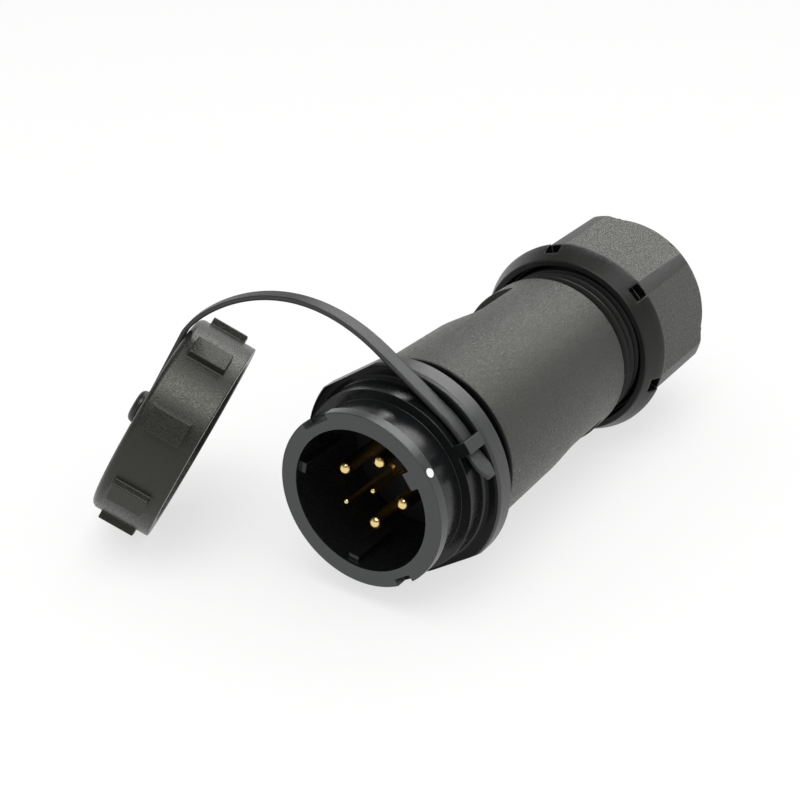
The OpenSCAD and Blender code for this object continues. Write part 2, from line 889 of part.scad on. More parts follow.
// The band and its tail, swept along its points
module strap_band() {
  corners = len(strap_section(strap_w));
  last = len(strap_points) - 1;
  rings = [for (i = [0 : last]) strap_ring(i)];
  sides = [
    for (i = [0 : last - 1], j = [0 : corners - 1])
      let (a = i * corners + j, b = i * corners + (j + 1) % corners)
      [a, a + corners, b + corners, b]
  ];
  first_end = [for (j = [0 : corners - 1]) j];
  last_end = [for (j = [0 : corners - 1]) last * corners + corners - 1 - j];
  polyhedron([for (ring = rings, p = ring) p], concat([first_end], sides, [last_end]));
}

module cap_strap() {
  color(strap_rubber) {
    strap_band();
    at_cap()
      translate([0, 0, -fit_gap - strap_t])
        difference() {
          cylinder(d = eyelet_d, h = strap_t);
          translate([0, 0, -cut])
            cylinder(r = eyelet_hole_r, h = strap_t + 2 * cut);
        }
  }
}

front_shell();
contact_insert();
contact_retainer();
insert_o_ring();
insert_ring();
contact(power_places[0], power_radii);  // power_pin_1
contact(power_places[1], power_radii);  // power_pin_2
contact(power_places[2], power_radii);  // power_pin_3
contact(power_places[3], power_radii);  // power_pin_4
contact(signal_places[0], signal_radii);  // signal_pin_1
contact(signal_places[1], signal_radii);  // signal_pin_2
flange_gasket();
body_tube();
gland_seal();
gland_claw();
gland_washer();
gland_nut();
dust_cap();
cap_gasket();
cap_strap();
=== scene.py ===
import json
import math

import bpy
from mathutils import Matrix, Vector


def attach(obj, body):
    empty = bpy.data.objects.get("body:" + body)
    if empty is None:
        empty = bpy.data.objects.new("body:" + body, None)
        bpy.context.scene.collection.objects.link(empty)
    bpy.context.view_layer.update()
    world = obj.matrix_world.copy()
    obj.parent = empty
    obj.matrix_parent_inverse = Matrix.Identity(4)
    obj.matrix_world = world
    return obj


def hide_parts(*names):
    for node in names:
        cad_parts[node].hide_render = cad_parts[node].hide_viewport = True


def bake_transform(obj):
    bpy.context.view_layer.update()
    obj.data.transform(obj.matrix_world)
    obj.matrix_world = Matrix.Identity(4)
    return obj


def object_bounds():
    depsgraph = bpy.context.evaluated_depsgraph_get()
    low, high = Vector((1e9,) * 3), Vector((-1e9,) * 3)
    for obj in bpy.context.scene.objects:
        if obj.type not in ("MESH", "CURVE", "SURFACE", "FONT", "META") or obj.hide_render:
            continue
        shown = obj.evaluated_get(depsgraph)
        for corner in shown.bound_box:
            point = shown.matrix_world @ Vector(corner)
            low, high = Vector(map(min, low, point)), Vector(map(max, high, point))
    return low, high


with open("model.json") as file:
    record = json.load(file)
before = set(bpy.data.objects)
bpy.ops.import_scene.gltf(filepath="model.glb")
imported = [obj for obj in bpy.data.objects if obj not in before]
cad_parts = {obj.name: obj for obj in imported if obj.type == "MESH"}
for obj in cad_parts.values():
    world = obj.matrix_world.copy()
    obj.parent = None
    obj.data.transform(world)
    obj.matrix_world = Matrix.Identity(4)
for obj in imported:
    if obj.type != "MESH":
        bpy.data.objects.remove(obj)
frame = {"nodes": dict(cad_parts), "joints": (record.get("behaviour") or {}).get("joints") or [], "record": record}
cad_box = [list(corner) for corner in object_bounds()]

# Looks of an in-line circular connector with a dust cap on a strap. The connector's axis runs
# along +Y, its mating face is at the origin, and angles about the axis go from +X towards +Z.
# Sizes on the object are in millimetres, those of the floor and the lamps in metres.

MM = 0.001
JOINTS = {joint["name"]: joint for joint in frame["joints"]}
MOUNTS = {mount["name"]: mount for mount in frame["record"]["mounts"]}


# Small helpers for modelling

MERGE_LIMIT = 0.002      # vertices of a solid's copy that are this close become one
WELD_LIMIT = 0.0005      # and vertices that the rounding of edges left this close
FLAT_LIMIT = 0.3         # degrees between triangles that belong to one flat face
SHARP_LIMIT = 30         # degrees between faces whose edge is rounded
SMOOTH_LIMIT = 40        # degrees up to which an edge is shaded smooth
FLAT_WEIGHT = 60         # how strongly large faces straighten the shading beside them


def mm(*values):
    """A vector given in millimetres."""
    return Vector(values) * MM


def radial(degrees):
    """Unit vector outwards from the connector's axis, at an angle about it."""
    angle = math.radians(degrees)
    return Vector((math.cos(angle), 0, math.sin(angle)))


def onward(degrees):
    """Unit vector onwards round the connector's axis, at an angle about it."""
    angle = math.radians(degrees)
    return Vector((-math.sin(angle), 0, math.cos(angle)))


def off_axis(spot):
    """Distance from the connector's axis."""
    return math.hypot(spot.x, spot.z)


def deselect_all():
    """Leaves nothing selected before a primitive is added."""
    bpy.ops.object.select_all(action="DESELECT")


def make_active(piece):
    """Selects one object and nothing else."""
    if bpy.context.object and bpy.context.object.mode != "OBJECT":
        bpy.ops.object.mode_set(mode="OBJECT")
    deselect_all()
    piece.select_set(True)
    bpy.context.view_layer.objects.active = piece


def named(name):
    """Names the object that an operator has just added."""
    piece = bpy.context.object
    piece.name = name
    piece.data.name = name
    return piece


def edit(piece):
    """Opens one object in edit mode with nothing selected."""
    make_active(piece)
    bpy.ops.object.mode_set(mode="EDIT")
    bpy.ops.mesh.select_mode(type="VERT")
    bpy.ops.mesh.select_all(action="DESELECT")


def pick(piece, kind, test):
    """Selects the vertices or edges that pass a test, and nothing else, in edit mode."""
    bpy.ops.object.mode_set(mode="OBJECT")
    for element in getattr(piece.data, kind):
        element.select = test(element)
    bpy.ops.object.mode_set(mode="EDIT")


def leave_edit():
    """Goes back to object mode."""
    bpy.ops.object.mode_set(mode="OBJECT")


def apply_modifier(piece, kind, **settings):
    """Adds a modifier with its settings and applies it."""
    make_active(piece)
    modifier = piece.modifiers.new(kind.lower(), kind)
    for key, value in settings.items():
        setattr(modifier, key, value)
    bpy.ops.object.modifier_apply(modifier=modifier.name)


def cut_or_join(piece, tool, operation):
    """Cuts a piece with a tool, or joins the tool to it, and deletes the tool."""
    apply_modifier(piece, "BOOLEAN", object=tool, operation=operation, solver="EXACT")
    bpy.data.objects.remove(tool)


def weld(piece):
    """Joins vertices that lie on top of each other, which drops the empty faces between them."""
    edit(piece)
    bpy.ops.mesh.select_all(action="SELECT")
    bpy.ops.mesh.remove_doubles(threshold=WELD_LIMIT * MM)
    leave_edit()


def shade(piece):
    """Shades flat faces flat and round ones smooth."""
    make_active(piece)
    bpy.ops.object.shade_smooth_by_angle(angle=math.radians(SMOOTH_LIMIT))
    apply_modifier(piece, "WEIGHTED_NORMAL", keep_sharp=True, weight=FLAT_WEIGHT)


def round_edges(piece, width, segments=3):
    """Rounds the sharp edges and shades the piece."""
    apply_modifier(
        piece, "BEVEL", width=width * MM, segments=segments, limit_method="ANGLE",
        angle_limit=math.radians(SHARP_LIMIT), use_clamp_overlap=False, miter_outer="MITER_ARC",
    )
    weld(piece)
    shade(piece)


def copy_of(node, name):
    """A copy of a solid's mesh with its triangles merged into whole faces."""
    mesh = frame["nodes"][node].data.copy()
    mesh.materials.clear()
    piece = bpy.data.objects.new(name, mesh)
    mesh.name = name
    bpy.context.scene.collection.objects.link(piece)
    make_active(piece)
    bpy.ops.mesh.customdata_custom_splitnormals_clear()
    edit(piece)
    bpy.ops.mesh.select_all(action="SELECT")
    bpy.ops.mesh.remove_doubles(threshold=MERGE_LIMIT * MM)
    bpy.ops.mesh.dissolve_limited(angle_limit=math.radians(FLAT_LIMIT))
    leave_edit()
    return piece


# Small helpers for materials

NOISE_LOW = 0.35         # most of a noise lies between these two values
NOISE_HIGH = 0.65
MIX_FACTOR = 0           # a Mix node's sockets, which share their names, by number
MIX_NUMBER_A = 2
MIX_NUMBER_B = 3
MIX_COLOUR_A = 6
MIX_COLOUR_B = 7
MIX_COLOUR_OUT = 2


def srgb(code):
    """Linear colour of an sRGB hex code."""
    parts = [int(code[i:i + 2], 16) / 255 for i in (0, 2, 4)]
    linear = [c / 12.92 if c <= 0.04045 else ((c + 0.055) / 1.055) ** 2.4 for c in parts]
    return tuple(linear) + (1,)


def scaled(colour, share):
    """A colour made darker or lighter by a share."""
    return tuple(c * share for c in colour[:3]) + (1,)


def per_grain(size):
    """Scale of a pattern whose grains or lines have this size in millimetres."""
    return 1 / (size * MM)


def add_node(tree, kind, settings=None, inputs=None, links=None):
    """Adds a node, sets its settings and its inputs, and links sockets of other nodes to it."""
    node = tree.nodes.new(kind)
    for key, value in (settings or {}).items():
        setattr(node, key, value)
    for key, value in (inputs or {}).items():
        node.inputs[key].default_value = value
    for key, socket in (links or {}).items():
        tree.links.new(socket, node.inputs[key])
    return node


def new_material(name):
    """A material and its node tree, still empty."""
    material = bpy.data.materials.new(name)
    material.use_nodes = True
    tree = material.node_tree
    tree.nodes.clear()
    return material, tree


def moulded(name, code, roughness, ior, grain, depth, mottle, spread=0.05, sheen=0.0,
            tint="FFFFFF"):
    """A moulded plastic or rubber with grain of a size and depth in millimetres. Its tone changes
    by the share mottle, and its roughness by spread, from grain to grain."""
    material, tree = new_material(name)
    colour = srgb(code)
    place = add_node(tree, "ShaderNodeTexCoord")
    pits = add_node(
        tree, "ShaderNodeTexNoise",
        inputs={"Scale": per_grain(grain), "Detail": 3.0, "Roughness": 0.7},
        links={"Vector": place.outputs["Object"]},
    )
    tone = add_node(
        tree, "ShaderNodeMix", {"data_type": "RGBA"},
        {MIX_COLOUR_A: scaled(colour, 1 - mottle), MIX_COLOUR_B: scaled(colour, 1 + mottle)},
        {MIX_FACTOR: pits.outputs["Fac"]},
    )
    gloss = add_node(
        tree, "ShaderNodeMapRange",
        inputs={"From Min": NOISE_LOW, "From Max": NOISE_HIGH,
                "To Min": roughness - spread, "To Max": roughness + spread},
        links={"Value": pits.outputs["Fac"]},
    )
    bump = add_node(
        tree, "ShaderNodeBump", inputs={"Strength": 1.0, "Distance": depth * MM},
        links={"Height": pits.outputs["Fac"]},
    )
    shader = add_node(
        tree, "ShaderNodeBsdfPrincipled",
        inputs={"IOR": ior, "Specular Tint": srgb(tint), "Sheen Weight": sheen},
        links={"Base Color": tone.outputs[MIX_COLOUR_OUT], "Roughness": gloss.outputs["Result"],
               "Normal": bump.outputs["Normal"]},
    )
    add_node(tree, "ShaderNodeOutputMaterial", links={"Surface": shader.outputs["BSDF"]})
    return material


def turned_gold(name, code, roughness, spacing, depth):
    """Plated metal with faint turning marks round it, of a spacing and depth in millimetres."""
    material, tree = new_material(name)
    place = add_node(tree, "ShaderNodeTexCoord")
    marks = add_node(
        tree, "ShaderNodeTexWave", {"wave_type": "BANDS", "bands_direction": "Y"},
        {"Scale": per_grain(spacing), "Distortion": 0.6, "Detail": 2.0},
        {"Vector": place.outputs["Object"]},
    )
    bump = add_node(
        tree, "ShaderNodeBump", inputs={"Strength": 0.35, "Distance": depth * MM},
        links={"Height": marks.outputs["Fac"]},
    )
    shader = add_node(
        tree, "ShaderNodeBsdfPrincipled",
        inputs={"Base Color": srgb(code), "Metallic": 1.0, "Roughness": roughness},
        links={"Normal": bump.outputs["Normal"]},
    )
    add_node(tree, "ShaderNodeOutputMaterial", links={"Surface": shader.outputs["BSDF"]})
    return material


# Materials. The grain of a moulding tool is really about 0.03 to 0.1 mm. It is drawn at about
# 0.3 mm in the textured finishes, because finer grain wouldn't show in the render.

# Nylon moulded against polished steel: deep black and glossy, with slow faint waves in the gloss
shell_gloss = moulded(
    "polished_black_nylon", "121314", roughness=0.24, ior=1.42, grain=1.2, depth=0.004, mottle=0.05,
)
# Nylon from a finely blasted tool: a greyer black with an even, silky sheen
ring_satin = moulded(
    "satin_black_nylon", "2B2E2D", roughness=0.32, ior=1.55, grain=0.3, depth=0.02, mottle=0.12,
)
# Painted shade: nylon made almost pure black and weakly reflecting, for faces in deep recesses that little light
# reaches
painted_shade_black = moulded(
    "mirror_black_nylon", "0E0F0F", roughness=0.2, ior=1.22, grain=1.2, depth=0.003, mottle=0.05,
)
# Textured nylon that handling has rubbed smooth: an even dull grey with little grain left
corner_satin = moulded(
    "burnished_black_nylon", "232322", roughness=0.4, ior=1.47, grain=0.3, depth=0.03, mottle=0.2,
)
# Nylon from a turned tool face with no texture: plain, with a weak sheen. Its darker tone and weak reflection are
# painted shade, for faces that turn away from the lamps or lie under the nut
smooth_lip_and_shade = moulded(
    "smooth_black_nylon", "1D1D1C", roughness=0.34, ior=1.31, grain=0.3, depth=0.02, mottle=0.15,
)
# Nylon from a lightly etched tool: satin dark grey with a fine grain that breaks up the highlights
shell_satin = moulded(
    "etched_black_nylon", "262827", roughness=0.36, ior=1.55, grain=0.3, depth=0.05, mottle=0.2,
)
# Nylon from a spark-eroded tool: rough grain, each grain of its own tone and gloss, so it sparkles
body_grain = moulded(
    "spark_textured_nylon", "222220", roughness=0.42, ior=1.5, grain=0.34, depth=0.12, mottle=0.45,
    spread=0.2, sheen=0.04, tint="FFFFF4",
)
# Nylon from a finer spark-eroded tool: the same sparkle, but shallower and with softer highlights
cap_grain = moulded(
    "fine_textured_nylon", "1B1B19", roughness=0.35, ior=1.46, grain=0.3, depth=0.035, mottle=0.5,
    spread=0.16, sheen=0.02, tint="FFFFF4",
)
# Soft thermoplastic rubber from a blasted tool: neutral dark grey with one wide, dull highlight
strap_satin = moulded(
    "satin_grey_rubber", "2D2E2E", roughness=0.45, ior=1.47, grain=0.5, depth=0.02, mottle=0.1,
)
# Nitrile rubber pressed in a mould: dull and nearly black, and made darker still and weakly reflecting as painted
# shade for the gap behind the flange
seal_black_and_shade = moulded(
    "black_seal_rubber", "070708", roughness=0.6, ior=1.25, grain=0.4, depth=0.008, mottle=0.15,
)
# Moulded thermoset resin: a matt black ground behind the bright contacts
insulator_black = moulded(
    "black_insulator_resin", "0D0D0E", roughness=0.5, ior=1.5, grain=0.35, depth=0.01, mottle=0.1,
)
# White ink put on with a pad: bright and flat, barely uneven
dot_paint = moulded(
    "white_marking_paint", "F4F4F2", roughness=0.45, ior=1.5, grain=0.3, depth=0.008, mottle=0.02,
)
# Gold plating on turned brass: pale yellow and bright, with fine rings that draw its glints out.
# Real turning marks are about 0.05 mm apart, and are drawn wider so that they show.
contact_gold = turned_gold(
    "gold_plated_brass", "EBD08A", roughness=0.14, spacing=0.35, depth=0.01,
)

SLOT_FINISH = {
    "shell_nylon": shell_satin, "body_nylon": body_grain, "cap_nylon": cap_grain,
    "insulator": insulator_black, "seal_rubber": seal_black_and_shade, "strap_rubber": strap_satin,
    "contact_gold": contact_gold,
}
for subpart in frame["record"]["subparts"]:
    solid = frame["nodes"][subpart["node"]]
    solid.data.materials.clear()
    solid.data.materials.append(SLOT_FINISH[subpart["material_slot"]])


def dress(piece, body, slot, material, *nodes):
    """Gives a finished piece its material, lets it ride on a body and stand for solids."""
    piece.data.materials.append(material)
    if nodes:
        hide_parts(*nodes)
    if body:
        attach(piece, body)


def refinish(piece, material, test):
    """Gives another material to the faces that pass a test on their middle and their normal."""
    piece.data.materials.append(material)
    for face in piece.data.polygons:
        if test(face.center / MM, face.normal):
            face.material_index = len(piece.data.materials) - 1


# Mouldings: copies of the solids with soft edges. One tool has areas of different finish, so faces
# are told apart by where they are and which way they face.

# Places along the axis
RING_FACE_TO = 0.2
RING_BACK = 2.05
FLANGE_FRONT = 11.5
FLANGE_FRONT_NEAR = 0.5  # how near to it a face counts as on it
BODY_FRONT_TO = 19.7
NECK_FROM = 62.4
NOTCH_FROM = 69.2
NOTCH_BACK_FROM = 72.0
RIM_END = 72.2
CORNER_START = 72.5
NOTCH_TO = 72.6
CORNER_END = 91

# Distances from the axis
BORE_EDGE = 12.2
LIP_FROM = 14.5
NOTCH_FLOOR = 16.2
NOTCH_TOP = 17.2
RIM_FROM = 16.6
LOOP_FROM = 17.2
CORNER_FROM = 18.0

# How much of a face's normal lies in a direction that it faces, and in one that it stands along
FACING = 0.8
ALONG = 0.5


def on_rim_or_loop(spot, normal):
    """The flange's rim and the keeper loop, without their front and back faces."""
    reach = RIM_FROM if spot.y > FLANGE_FRONT else LOOP_FROM
    return off_axis(spot) > reach and abs(normal.y) < FACING


def on_flange_front(spot, normal):
    """The flange's front face, at the bottom of the recess behind the lock ring."""
    return abs(spot.y - FLANGE_FRONT) < FLANGE_FRONT_NEAR and normal.y < -FACING


def on_lock_ring(spot, normal):
    """The lock ring's outside and its front face."""
    front = spot.y < RING_FACE_TO and normal.y < -FACING
    return spot.y < RING_BACK and (off_axis(spot) > BORE_EDGE or front)


def on_body_front(spot, normal):
    """The body's front edge, in the gap behind the flange."""
    return spot.y < BODY_FRONT_TO


def on_neck(spot, normal):
    """The body's rear neck, under the gland thread."""
    return spot.y > NECK_FROM


def on_nut_rim(spot, normal):
    """The nut's round rim, without its bore."""
    return spot.y < RIM_END and (off_axis(spot) > LIP_FROM or normal.y < -FACING)


def on_nut_corner(spot, normal):
    """The narrow facets on the nut's six corners."""
    return CORNER_START < spot.y < CORNER_END and off_axis(spot) > CORNER_FROM


def in_notch(spot, normal):
    """The sides, floor and back of the notches in the nut's rim."""
    outward = (spot.x * normal.x + spot.z * normal.z) / off_axis(spot)
    side = abs(outward) < ALONG and abs(normal.y) < ALONG
    bottom = outward > FACING and off_axis(spot) < NOTCH_TOP
    back = normal.y < -FACING and spot.y > NOTCH_BACK_FROM
    within = NOTCH_FROM < spot.y < NOTCH_TO and off_axis(spot) > NOTCH_FLOOR
    return within and (side or bottom or back)


def moulding(node, name, body, slot, material, edge):
    """A solid's copy with edges rounded by so many millimetres, dressed to stand for the solid."""
    piece = copy_of(node, name)
    round_edges(piece, edge)
    dress(piece, body, slot, material, node)
    return piece


# The shell is polished, but for its satin ring, its etched rim and loop, and painted shade on the flange's front
# face at the bottom of its recess
shell_piece = moulding("front_shell", "lock_shell", "shell", "shell_nylon", shell_gloss, edge=0.1)
refinish(shell_piece, shell_satin, on_rim_or_loop)
refinish(shell_piece, painted_shade_black, on_flange_front)
refinish(shell_piece, ring_satin, on_lock_ring)

# The body is spark-textured between a smooth neck and its front edge; the neck is darkened as painted shade under
# the nut, and the front edge in the gap behind the flange is painted shade
body_piece = moulding("body_tube", "tapered_body", "shell", "body_nylon", body_grain, edge=0.15)
refinish(body_piece, smooth_lip_and_shade, on_neck)
refinish(body_piece, painted_shade_black, on_body_front)

# The nut is spark-textured, with worn corners, a smooth rim darkened as painted shade, and painted shade in its
# notches
nut_piece = moulding("gland_nut", "clamp_nut", "nut", "body_nylon", body_grain, edge=0.25)
refinish(nut_piece, smooth_lip_and_shade, on_nut_rim)
refinish(nut_piece, corner_satin, on_nut_corner)
refinish(nut_piece, painted_shade_black, in_notch)

moulding("dust_cap", "lugged_cap", "cap", "cap_nylon", cap_grain, edge=0.2)


# Gland thread: one trapezoid ridge, wound up the neck behind the body

THREAD_CREST = 14.8      # radius at the top of the ridge
THREAD_DEPTH = 0.9
THREAD_SINK = 0.2        # how far the ridge goes into the neck
THREAD_PITCH = 2
THREAD_START = 63.0
THREAD_TURNS = 7
THREAD_STEPS = 96        # faces in a turn
THREAD_EDGE = 0.08
ROOT_SHARE = 0.75        # widths of the ridge as shares of the pitch
CREST_SHARE = 0.2

deselect_all()
ridge_middle = mm(THREAD_CREST - (THREAD_DEPTH + THREAD_SINK) / 2, THREAD_START, 0)
bpy.ops.mesh.primitive_plane_add(size=1, location=ridge_middle)
thread_piece = named("gland_thread")
thread_piece.scale = mm(THREAD_DEPTH + THREAD_SINK, ROOT_SHARE * THREAD_PITCH, 1)
bpy.ops.object.transform_apply(location=True, rotation=True, scale=True)
edit(thread_piece)
pick(thread_piece, "vertices", lambda vertex: vertex.co.x > ridge_middle.x)
bpy.ops.transform.resize(value=(1, CREST_SHARE / ROOT_SHARE, 1), center_override=ridge_middle)
bpy.ops.mesh.select_all(action="SELECT")
bpy.ops.mesh.delete(type="ONLY_FACE")
leave_edit()
apply_modifier(
    thread_piece, "SCREW", axis="Y", screw_offset=THREAD_PITCH * MM, iterations=THREAD_TURNS,
    steps=THREAD_STEPS, render_steps=THREAD_STEPS, use_merge_vertices=False,
)
edit(thread_piece)
bpy.ops.mesh.select_all(action="SELECT")
bpy.ops.mesh.fill_holes(sides=0)
bpy.ops.mesh.normals_make_consistent(inside=False)
leave_edit()
round_edges(thread_piece, THREAD_EDGE, segments=2)
# The thread takes the smooth nylon whose dark tone is painted shade under the nut
dress(thread_piece, "shell", "body_nylon", smooth_lip_and_shade)


# Strap: modelled flat along X, with its barbed tail at 0 and its eyelet round the far end, then
# bent along its route from the keeper loop over to the cap's stud

STRAP_W = 2.2
LOOP_STRAP_W = 2.7       # width near the keeper loop
NARROW_FROM = 20         # where it narrows, measured from the tail's root
NARROW_TO = 38
STRAP_T = 0.8
STRAP_R = 16.75          # radius of its middle line round the collar
STRAP_EDGE = 0.25
STRAP_CUTS = 47          # cuts in each stretch, so that it bends smoothly
LOOP_TURN = 35           # angle about the axis at the keeper loop
LIFT_TURN = 56           # and where it leaves the collar
LIFT_RUN = 13.5          # length of the straight run from there
ARCH_NEAR = 22           # pulls at the two ends of the arch
ARCH_FAR = 5
ARCH_FOOT = 16.95        # length of the straight run down to the stud
EYELET_R = 3.5
EYELET_HOLE_R = 1.6
EYELET_SIDES = 64
EYELET_MID = 0.5         # how far its middle lies under the stud's joint
TAIL_LEN = 4.7
TAIL_W = 3.2
TAIL_TIP_W = 1.7
BARB_FROM = 0.4          # shares of the tail's length: its widest part, and its neck
BARB_TO = 0.7
BARB_NECK = 0.95
TAIL_LIFT = 12           # degrees by which the tail stands off
TAIL_GAP = 1.375         # from the loop back to the tail's root
TAIL_PULL = 1.5
ROOT_PULL_BACK = 1.2
ROOT_PULL_ON = 0.4
ROUTE_STEPS = 40
HAIR = 1e-6              # in metres, less than any real distance

cap_place = Vector(JOINTS["cap_swivel"]["pos_m"])
cap_axis = Vector(JOINTS["cap_swivel"]["axis"]).normalized()
cap_down = (Vector((0, 0, -1)) + cap_axis.z * cap_axis).normalized()
strap_level = Vector((0, JOINTS["strap_flex"]["pos_m"][1], 0))

tail_lift = math.radians(TAIL_LIFT)
tail_way = math.cos(tail_lift) * onward(LOOP_TURN) - math.sin(tail_lift) * radial(LOOP_TURN)
tail_root = STRAP_R * MM * radial(LOOP_TURN) - TAIL_GAP * MM * onward(LOOP_TURN) + strap_level
wrap_start = STRAP_R * MM * radial(LOOP_TURN) + strap_level
lift_point = STRAP_R * MM * radial(LIFT_TURN) + strap_level
arch_start = lift_point + LIFT_RUN * MM * onward(LIFT_TURN)
eyelet_middle = cap_place - EYELET_MID * MM * cap_axis
arch_end = eyelet_middle - ARCH_FOOT * MM * cap_down

# The pull that makes a Bezier segment a circle's arc, and those that keep a run even
wrap_pull = STRAP_R * 4 / 3 * math.tan(math.radians(LIFT_TURN - LOOP_TURN) / 4)
lift_pull = LIFT_RUN / 3
foot_pull = ARCH_FOOT / 3

# Route points with their directions and their pulls, back and onwards
ROUTE = [
    (tail_root - TAIL_LEN * MM * tail_way, tail_way, TAIL_PULL, TAIL_PULL),
    (tail_root, (tail_way + onward(LOOP_TURN)).normalized(), ROOT_PULL_BACK, ROOT_PULL_ON),
    (wrap_start, onward(LOOP_TURN), ROOT_PULL_ON, wrap_pull),
    (lift_point, onward(LIFT_TURN), wrap_pull, lift_pull),
    (arch_start, onward(LIFT_TURN), lift_pull, ARCH_NEAR),
    (arch_end, cap_down, ARCH_FAR, foot_pull),
    (eyelet_middle, cap_down, foot_pull, foot_pull),
]

deselect_all()
bpy.ops.curve.primitive_bezier_curve_add()
route = named("strap_route")
route.data.twist_mode = "Z_UP"
route.data.resolution_u = ROUTE_STEPS
spline = route.data.splines[0]
spline.bezier_points.add(len(ROUTE) - len(spline.bezier_points))
for point, (spot, way, back, on) in zip(spline.bezier_points, ROUTE):
    point.handle_left_type = "FREE"
    point.handle_right_type = "FREE"
    point.co = spot
    point.handle_left = spot - back * MM * way
    point.handle_right = spot + on * MM * way
strap_len = spline.calc_length() / MM

# Places along the strap with its width there: the pointed tail, its barb, and then the band
STATIONS = [
    (0, TAIL_TIP_W),
    (BARB_FROM * TAIL_LEN, TAIL_W),
    (BARB_TO * TAIL_LEN, TAIL_W),
    (BARB_NECK * TAIL_LEN, (LOOP_STRAP_W + TAIL_W) / 2),
    (TAIL_LEN, LOOP_STRAP_W),
    (TAIL_LEN + NARROW_FROM, LOOP_STRAP_W),
    (TAIL_LEN + NARROW_TO, STRAP_W),
    (strap_len, STRAP_W),
]

deselect_all()
bpy.ops.mesh.primitive_plane_add(size=1)
strap_piece = named("arched_strap")


def runs_along_band(edge):
    """Whether an edge of the flat strap runs along it, from the tail's root onwards."""
    near, far = sorted(strap_piece.data.vertices[i].co.x for i in edge.vertices)
    return near > TAIL_LEN * MM - HAIR and far - near > HAIR


# One edge of the plane, half its size from the middle, is kept, moved to 0 as the tail's tip and
# drawn out from station to station
edit(strap_piece)
pick(strap_piece, "vertices", lambda vertex: vertex.co.x > 0)
bpy.ops.mesh.delete(type="VERT")
pick(strap_piece, "vertices", lambda vertex: True)
bpy.ops.transform.translate(value=(0.5, 0, 0))
bpy.ops.transform.resize(value=(1, TAIL_TIP_W * MM, 1), center_override=(0, 0, 0))
for (here, width), (there, next_width) in zip(STATIONS, STATIONS[1:]):
    bpy.ops.mesh.extrude_edges_move(TRANSFORM_OT_translate={"value": mm(there - here, 0, 0)})
    bpy.ops.transform.resize(value=(1, next_width / width, 1), center_override=mm(there, 0, 0))
pick(strap_piece, "edges", runs_along_band)
bpy.ops.mesh.subdivide(number_cuts=STRAP_CUTS)
bpy.ops.mesh.select_all(action="SELECT")
bpy.ops.mesh.extrude_region_move(TRANSFORM_OT_translate={"value": mm(0, 0, STRAP_T)})
bpy.ops.mesh.select_all(action="SELECT")
bpy.ops.transform.translate(value=mm(0, 0, -STRAP_T / 2))
bpy.ops.mesh.normals_make_consistent(inside=False)
leave_edit()

for radius, depth, operation in (
    (EYELET_R, STRAP_T, "UNION"), (EYELET_HOLE_R, 2 * STRAP_T, "DIFFERENCE"),
):
    deselect_all()
    bpy.ops.mesh.primitive_cylinder_add(
        vertices=EYELET_SIDES, radius=radius * MM, depth=depth * MM, location=mm(strap_len, 0, 0),
    )
    cut_or_join(strap_piece, named("eyelet_tool"), operation)
round_edges(strap_piece, STRAP_EDGE)
apply_modifier(strap_piece, "CURVE", object=route, deform_axis="POS_X")
bpy.data.objects.remove(route)
shade(strap_piece)
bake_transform(strap_piece)
dress(strap_piece, None, "strap_rubber", strap_satin, "cap_strap")


# White index dot painted on the lock ring's side: a disc laid on the ring and given a thickness

DOT_R = 0.75
DOT_SIDES = 32
DOT_CUTS = 2
DOT_TURN = 34.7          # angle about the axis
DOT_AT = 0.95            # place along the axis
DOT_LIFT = 0.2           # how far off the ring the disc starts
PAINT_T = 0.03
ring_r = MOUNTS["mating_ring"]["dims"]["r_mm"]

deselect_all()
bpy.ops.mesh.primitive_circle_add(vertices=DOT_SIDES, radius=DOT_R * MM, fill_type="TRIFAN")
dot_piece = named("index_dot")
edit(dot_piece)
bpy.ops.mesh.select_all(action="SELECT")
bpy.ops.mesh.subdivide(number_cuts=DOT_CUTS)
leave_edit()
dot_place = (ring_r + DOT_LIFT) * MM * radial(DOT_TURN) + mm(0, DOT_AT, 0)
dot_turn = Matrix.Rotation(math.radians(90 - DOT_TURN), 4, "Y")
dot_piece.matrix_world = Matrix.Translation(dot_place) @ dot_turn
bpy.ops.object.transform_apply(location=True, rotation=True, scale=True)
apply_modifier(
    dot_piece, "SHRINKWRAP", target=shell_piece, wrap_method="NEAREST_SURFACEPOINT",
    wrap_mode="ABOVE_SURFACE", offset=PAINT_T / 2 * MM,
)
apply_modifier(dot_piece, "SOLIDIFY", thickness=PAINT_T * MM, offset=0)
shade(dot_piece)
dress(dot_piece, "shell", "shell_nylon", dot_paint)


# Floor: white card that glows a little to the eye and in reflections, so its shadows stay pale

FLOOR_SIZE = 6
GLOW_SHARE = 0.66

deselect_all()
bpy.ops.mesh.primitive_plane_add(size=FLOOR_SIZE, location=(0, 0, cad_box[0][2]))
floor = named("pale_floor")
floor_material, floor_tree = new_material("white_card")
floor_path = add_node(floor_tree, "ShaderNodeLightPath")
floor_seen = add_node(
    floor_tree, "ShaderNodeMath", {"operation": "MAXIMUM"},
    links={0: floor_path.outputs["Is Camera Ray"], 1: floor_path.outputs["Is Glossy Ray"]},
)
floor_shown = add_node(
    floor_tree, "ShaderNodeMath", {"operation": "MAXIMUM"},
    links={0: floor_seen.outputs[0], 1: floor_path.outputs["Is Transmission Ray"]},
)
floor_share = add_node(
    floor_tree, "ShaderNodeMath", {"operation": "MULTIPLY"}, {1: GLOW_SHARE},
    {0: floor_shown.outputs[0]},
)
floor_card = add_node(
    floor_tree, "ShaderNodeBsdfPrincipled",
    inputs={"Base Color": srgb("F8F8F7"), "Roughness": 0.9, "Specular IOR Level": 0.2},
)
floor_glow = add_node(
    floor_tree, "ShaderNodeEmission", inputs={"Color": srgb("FFFFFF"), "Strength": 1.0},
)
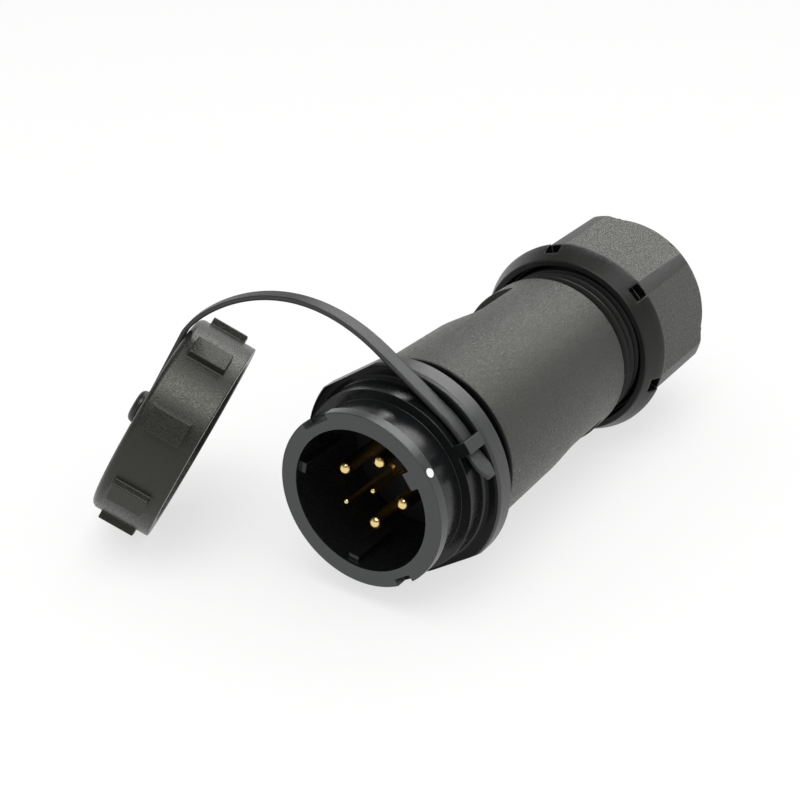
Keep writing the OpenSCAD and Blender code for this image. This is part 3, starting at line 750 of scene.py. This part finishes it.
floor_mix = add_node(
    floor_tree, "ShaderNodeMixShader",
    links={0: floor_share.outputs[0], 1: floor_card.outputs["BSDF"],
           2: floor_glow.outputs["Emission"]},
)
add_node(floor_tree, "ShaderNodeOutputMaterial", links={"Surface": floor_mix.outputs["Shader"]})
floor.data.materials.append(floor_material)


# Light: a white tent whose roof is dim in reflections, and softboxes that draw the highlights

TENT_LEVEL = 0.85        # brightness by which the tent lights the object, where 1 is white
ROOF_LEVEL = 0.2         # brightness of its roof in reflections
ROOF_FROM = 0.1          # heights, from 0 level to 1 overhead, between which the roof begins
ROOF_TO = 0.6
LAMP_DISTANCE = 0.7

world = bpy.data.worlds.new("white_tent")
world.use_nodes = True
bpy.context.scene.world = world
tent = world.node_tree
tent.nodes.clear()
tent_path = add_node(tent, "ShaderNodeLightPath")
tent_place = add_node(tent, "ShaderNodeTexCoord")
tent_height = add_node(
    tent, "ShaderNodeSeparateXYZ", links={"Vector": tent_place.outputs["Generated"]},
)
tent_roof = add_node(
    tent, "ShaderNodeMapRange", {"interpolation_type": "SMOOTHSTEP"},
    {"From Min": ROOF_FROM, "From Max": ROOF_TO, "To Min": 1.0, "To Max": ROOF_LEVEL},
    {"Value": tent_height.outputs["Z"]},
)
tent_mirrored = add_node(
    tent, "ShaderNodeMath", {"operation": "MAXIMUM"},
    links={0: tent_path.outputs["Is Glossy Ray"], 1: tent_path.outputs["Is Transmission Ray"]},
)
tent_unseen = add_node(
    tent, "ShaderNodeMix", inputs={MIX_NUMBER_A: TENT_LEVEL},
    links={MIX_FACTOR: tent_mirrored.outputs[0], MIX_NUMBER_B: tent_roof.outputs["Result"]},
)
tent_level = add_node(
    tent, "ShaderNodeMix", inputs={MIX_NUMBER_B: 1.0},
    links={MIX_FACTOR: tent_path.outputs["Is Camera Ray"], MIX_NUMBER_A: tent_unseen.outputs[0]},
)
tent_sky = add_node(
    tent, "ShaderNodeBackground", inputs={"Color": srgb("FFFFFF")},
    links={"Strength": tent_level.outputs[0]},
)
add_node(tent, "ShaderNodeOutputWorld", links={"Surface": tent_sky.outputs["Background"]})

object_middle = (Vector(cad_box[0]) + Vector(cad_box[1])) / 2


def softbox(name, side, width, height, level, on_floor=True):
    """An area lamp on one side of the object, turned to it. Its level is its brightness, where 1
    is white. One that isn't on the floor shows only as a reflection."""
    outward = Vector(side).normalized()
    bpy.ops.object.light_add(type="AREA", location=object_middle + LAMP_DISTANCE * outward)
    lamp = named(name)
    lamp.rotation_euler = outward.to_track_quat("Z", "Y").to_euler()
    lamp.data.shape = "RECTANGLE"
    lamp.data.size = width
    lamp.data.size_y = height
    lamp.data.energy = math.pi * width * height * level
    lamp.visible_camera = False
    lamp.visible_diffuse = on_floor


softbox("top_softbox", (0.15, -0.25, 0.95), width=0.5, height=0.5, level=2.2)
softbox("front_glint", (0.18, -0.35, 0.92), width=0.4, height=0.4, level=3.0, on_floor=False)
softbox("back_softbox", (0.02, 0.745, 0.62), width=0.6, height=0.34, level=4.3, on_floor=False)
softbox("front_softbox", (0.57, -0.16, 0.81), width=0.3, height=0.3, level=5.0, on_floor=False)
softbox("roof_softbox", (0.44, 0.38, 0.81), width=0.3, height=0.3, level=2.4, on_floor=False)


# Camera, fitted to the photo's ellipses

CAMERA_AT = mm(122.1, -175.5, 127.71)
CAMERA_AIM = mm(1.12, 9.92, 13.78)
CAMERA_LENS = 72
CAMERA_SENSOR = 36
CAMERA_NEAR = 10         # nearest distance that it shows

bpy.ops.object.camera_add(
    location=CAMERA_AT, rotation=(CAMERA_AIM - CAMERA_AT).to_track_quat("-Z", "Y").to_euler(),
)
camera = named("photo_camera")
camera.data.lens = CAMERA_LENS
camera.data.sensor_width = CAMERA_SENSOR
camera.data.clip_start = CAMERA_NEAR * MM
bpy.context.scene.camera = camera
bpy.context.scene.view_settings.view_transform = "Standard"
